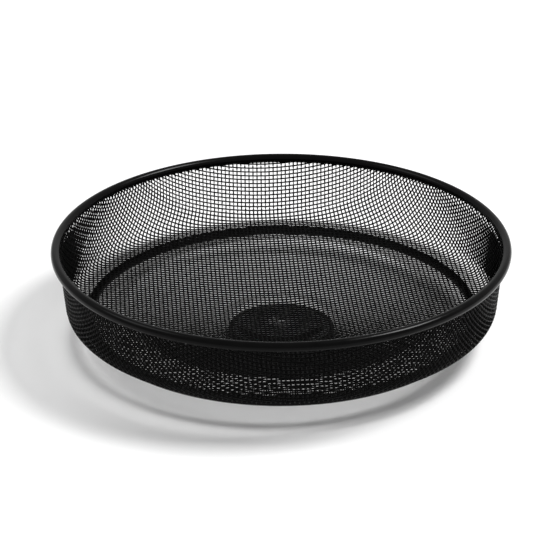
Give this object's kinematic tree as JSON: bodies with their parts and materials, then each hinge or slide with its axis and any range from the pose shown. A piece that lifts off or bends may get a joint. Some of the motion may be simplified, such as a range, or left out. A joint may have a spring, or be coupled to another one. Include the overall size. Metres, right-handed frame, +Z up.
{
  "type": "round mesh turntable tray",
  "caption": "Round open tray of woven steel mesh with a rolled tube rim, a tube ring under its floor and a low ball-bearing turntable base under its dished centre.",
  "frame": {"origin": "on the table, on the axis of rotation, at the centre of the foot ring's underside", "axes": "+Z up along the axis of rotation; X and Y are any two directions on the table, as the part is round"},
  "size_m": [0.254, 0.254, 0.0569],
  "materials": {
    "tube_black": "gloss black coating on steel tube",
    "mesh_black": "satin black coating on woven steel wire",
    "hub_grey": "satin light grey coating on pressed steel",
    "nylon": "natural moulded nylon",
    "black_nylon": "black moulded nylon",
    "ball_steel": "polished steel",
    "zinc_steel": "zinc-plated pressed steel, slightly dull",
    "foot_rubber": "matt black rubber"
  },
  "bodies": {
    "base": {"base_plate": "zinc_steel", "pivot_rivet": "hub_grey", "foot_ring": "foot_rubber"},
    "bearing": {"ball_cage": "nylon", "balls": "ball_steel"},
    "tray": {"rim_tube": "tube_black", "mesh_wall": "mesh_black", "mesh_floor": "mesh_black", "support_ring": "tube_black", "hub_plate": "hub_grey", "thrust_washer": "black_nylon"}
  },
  "joints": [
    {"name": "tray_spin", "type": "hinge", "parent": "base", "child": "tray", "pos_m": [0, 0, 0.005], "axis": [0, 0, 1], "continuous": true},
    {"name": "bearing_roll", "type": "hinge", "parent": "base", "child": "bearing", "pos_m": [0, 0, 0.0035], "axis": [0, 0, 1], "continuous": true}
  ],
  "couplings": [
    {"joint": "bearing_roll", "follows": "tray_spin", "ratio": 0.5}
  ]
}
